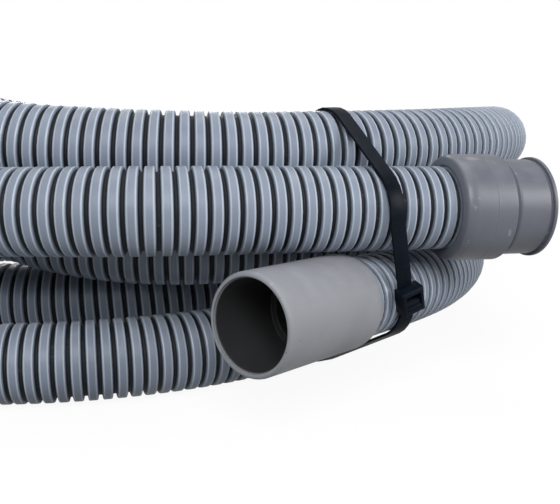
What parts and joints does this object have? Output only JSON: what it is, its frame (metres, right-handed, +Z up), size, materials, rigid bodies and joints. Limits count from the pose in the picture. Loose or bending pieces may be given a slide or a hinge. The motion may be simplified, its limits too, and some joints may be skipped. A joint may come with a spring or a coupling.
{
  "type": "sewer hose kit",
  "caption": "Ribbed waste water hose for a caravan, coiled and bound with cable ties, with a plain pipe cuff on one end and a sealed swivel socket on the other.",
  "frame": {"origin": "middle of the coil's footprint, on the surface that it lies on", "axes": "+Z up from that surface, -Y towards the side with both fittings, +X to the right seen from there"},
  "size_m": [0.5345, 0.4939, 0.1633],
  "materials": {
    "hose": "satin moulded polyethylene, mid grey",
    "light_cuff": "fine matte, light grey",
    "dark_socket": "satin, dark grey",
    "sleeve": "plain moulded, pale grey",
    "seal": "matte rubber",
    "tie": "satin nylon, black"
  },
  "bodies": {
    "hose": {"hose_coil": "hose", "hose_cuff_end": "hose", "hose_socket_end": "hose", "cuff_swivel_sleeve": "sleeve", "socket_collar": "dark_socket", "front_tie_strap": "tie", "front_tie_head": "tie", "rear_tie_strap": "tie", "rear_tie_head": "tie"},
    "end_cuff": {"end_cuff": "light_cuff"},
    "socket": {"socket_body": "dark_socket", "socket_seal": "seal"},
    "front_tie_pawl": {"front_tie_pawl": "tie"},
    "rear_tie_pawl": {"rear_tie_pawl": "tie"}
  },
  "joints": [
    {"name": "cuff_swivel", "type": "hinge", "parent": "hose", "child": "end_cuff", "pos_m": [0.12176, -0.19671, 0.05596], "axis": [0.6382, 0.7687, -0.0436], "continuous": true},
    {"name": "socket_swivel", "type": "hinge", "parent": "hose", "child": "socket", "pos_m": [0.20282, -0.15919, 0.097], "axis": [0.9532, 0.3005, -0.0332], "continuous": true},
    {"name": "front_tie_pawl_hinge", "type": "hinge", "parent": "hose", "child": "front_tie_pawl", "pos_m": [0.16562, -0.18338, 0.05679], "axis": [-0.8754, -0.3763, -0.3035], "range_deg": [0, 12], "stiffness_Nm_per_rad": 0.004},
    {"name": "rear_tie_pawl_hinge", "type": "hinge", "parent": "hose", "child": "rear_tie_pawl", "pos_m": [-0.06244, 0.2337, 0.05928], "axis": [0.9397, 0.342, 0], "range_deg": [0, 12], "stiffness_Nm_per_rad": 0.004}
  ]
}
